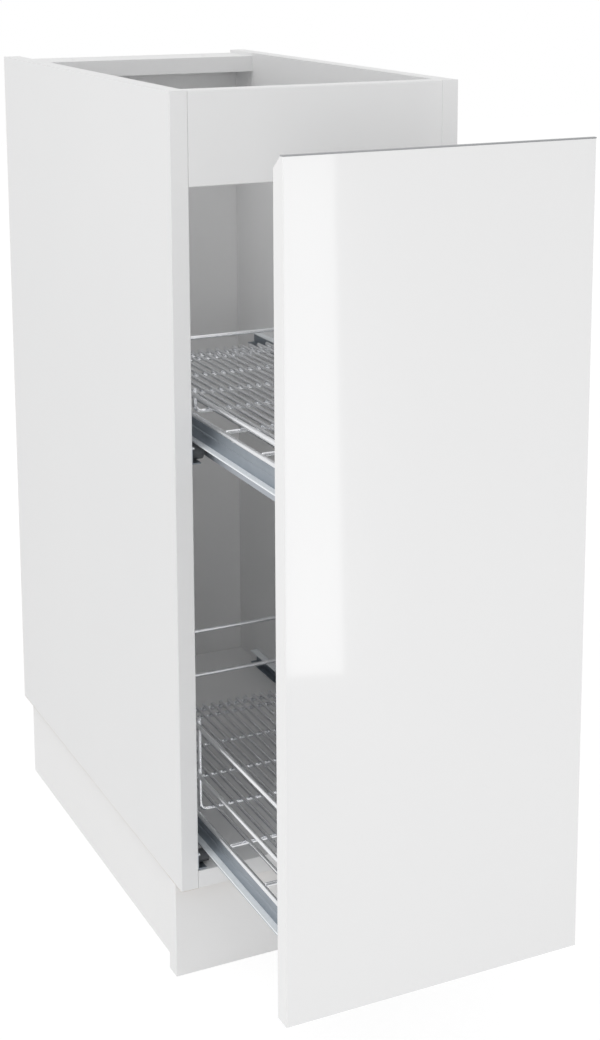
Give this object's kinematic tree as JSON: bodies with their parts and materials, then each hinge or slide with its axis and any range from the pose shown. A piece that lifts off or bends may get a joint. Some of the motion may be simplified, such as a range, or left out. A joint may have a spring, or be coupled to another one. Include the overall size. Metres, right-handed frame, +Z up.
{
  "type": "base cabinet with pull-out wire baskets",
  "caption": "Narrow white kitchen base cabinet, its gloss front pulling out a lower and an upper chrome wire basket on side roller runners.",
  "frame": {"origin": "centre of the whole footprint on the floor, with the front pulled out as at rest", "axes": "+X to the right seen from the front, +Y into the cabinet, +Z up"},
  "size_m": [0.3, 0.759, 0.88],
  "materials": {
    "carcass_melamine": "matt white melamine on chipboard",
    "back_hardboard": "white lacquered hardboard",
    "plinth_melamine": "matt white melamine on chipboard",
    "plain_wood": "bare beech and spruce",
    "zinc_fastener": "bright zinc plating",
    "gloss_front": "high-gloss white lacquer on fibreboard",
    "edge_aluminium": "dark satin anodised",
    "bumper_rubber": "soft clear plastic",
    "zinc_steel": "bluish zinc plating",
    "roller_nylon": "dark grey nylon",
    "chrome_wire": "polished chrome plating"
  },
  "bodies": {
    "cabinet": {"side_panel_right": "carcass_melamine", "side_panel_left": "carcass_melamine", "bottom_panel": "carcass_melamine", "back_panel": "back_hardboard", "front_top_rail": "carcass_melamine", "rear_top_rail": "carcass_melamine", "carcass_dowels": "plain_wood", "plinth_front": "plinth_melamine", "plinth_side_right": "plinth_melamine", "plinth_side_left": "plinth_melamine", "plinth_back": "plinth_melamine", "plinth_corner_blocks": "plain_wood", "plinth_screws": "zinc_fastener", "lower_cabinet_rail_right": "zinc_steel", "lower_cabinet_rail_left": "zinc_steel", "upper_cabinet_rail_right": "zinc_steel", "upper_cabinet_rail_left": "zinc_steel", "front_roller_rivets": "zinc_fastener", "runner_screws": "zinc_fastener"},
    "pullout": {"lower_basket_rail_right": "zinc_steel", "lower_basket_rail_left": "zinc_steel", "upper_basket_rail_right": "zinc_steel", "upper_basket_rail_left": "zinc_steel", "rear_roller_rivets": "zinc_fastener", "lower_basket_frame": "chrome_wire", "lower_basket_guard_1": "chrome_wire", "lower_basket_guard_2": "chrome_wire", "lower_basket_ribs": "chrome_wire", "lower_basket_floor": "chrome_wire", "lower_front_bracket_right": "zinc_steel", "lower_front_bracket_left": "zinc_steel", "upper_basket_frame": "chrome_wire", "upper_basket_guard_1": "chrome_wire", "upper_basket_ribs": "chrome_wire", "upper_basket_floor": "chrome_wire", "upper_front_bracket_right": "zinc_steel", "upper_front_bracket_left": "zinc_steel", "basket_link_rods": "chrome_wire", "bracket_screws": "zinc_fastener", "front_panel": "gloss_front", "grip_edge_strip": "edge_aluminium", "front_bumpers": "bumper_rubber"},
    "lower_front_roller_left_body": {"lower_front_roller_left": "roller_nylon"},
    "lower_front_roller_right_body": {"lower_front_roller_right": "roller_nylon"},
    "lower_rear_roller_left_body": {"lower_rear_roller_left": "roller_nylon"},
    "lower_rear_roller_right_body": {"lower_rear_roller_right": "roller_nylon"},
    "upper_front_roller_left_body": {"upper_front_roller_left": "roller_nylon"},
    "upper_front_roller_right_body": {"upper_front_roller_right": "roller_nylon"},
    "upper_rear_roller_left_body": {"upper_rear_roller_left": "roller_nylon"},
    "upper_rear_roller_right_body": {"upper_rear_roller_right": "roller_nylon"}
  },
  "joints": [
    {"name": "pullout_slide", "type": "slide", "parent": "cabinet", "child": "pullout", "axis": [0, -1, 0], "range_m": [-0.2187, 0.131]},
    {"name": "lower_front_roller_left_spin", "type": "hinge", "parent": "cabinet", "child": "lower_front_roller_left_body", "pos_m": [-0.1228, -0.1265, 0.1265], "axis": [1, 0, 0], "continuous": true},
    {"name": "lower_front_roller_right_spin", "type": "hinge", "parent": "cabinet", "child": "lower_front_roller_right_body", "pos_m": [0.1228, -0.1265, 0.1265], "axis": [1, 0, 0], "continuous": true},
    {"name": "lower_rear_roller_left_spin", "type": "hinge", "parent": "pullout", "child": "lower_rear_roller_left_body", "pos_m": [-0.1224, 0.0785, 0.1265], "axis": [1, 0, 0], "continuous": true},
    {"name": "lower_rear_roller_right_spin", "type": "hinge", "parent": "pullout", "child": "lower_rear_roller_right_body", "pos_m": [0.1224, 0.0785, 0.1265], "axis": [1, 0, 0], "continuous": true},
    {"name": "upper_front_roller_left_spin", "type": "hinge", "parent": "cabinet", "child": "upper_front_roller_left_body", "pos_m": [-0.1228, -0.1265, 0.5375], "axis": [1, 0, 0], "continuous": true},
    {"name": "upper_front_roller_right_spin", "type": "hinge", "parent": "cabinet", "child": "upper_front_roller_right_body", "pos_m": [0.1228, -0.1265, 0.5375], "axis": [1, 0, 0], "continuous": true},
    {"name": "upper_rear_roller_left_spin", "type": "hinge", "parent": "pullout", "child": "upper_rear_roller_left_body", "pos_m": [-0.1224, 0.0785, 0.5375], "axis": [1, 0, 0], "continuous": true},
    {"name": "upper_rear_roller_right_spin", "type": "hinge", "parent": "pullout", "child": "upper_rear_roller_right_body", "pos_m": [0.1224, 0.0785, 0.5375], "axis": [1, 0, 0], "continuous": true}
  ],
  "couplings": [
    {"joint": "lower_front_roller_left_spin", "follows": "pullout_slide", "rad_per_m": 153.85},
    {"joint": "lower_front_roller_right_spin", "follows": "pullout_slide", "rad_per_m": 153.85},
    {"joint": "lower_rear_roller_left_spin", "follows": "pullout_slide", "rad_per_m": 153.85},
    {"joint": "lower_rear_roller_right_spin", "follows": "pullout_slide", "rad_per_m": 153.85},
    {"joint": "upper_front_roller_left_spin", "follows": "pullout_slide", "rad_per_m": 153.85},
    {"joint": "upper_front_roller_right_spin", "follows": "pullout_slide", "rad_per_m": 153.85},
    {"joint": "upper_rear_roller_left_spin", "follows": "pullout_slide", "rad_per_m": 153.85},
    {"joint": "upper_rear_roller_right_spin", "follows": "pullout_slide", "rad_per_m": 153.85}
  ]
}
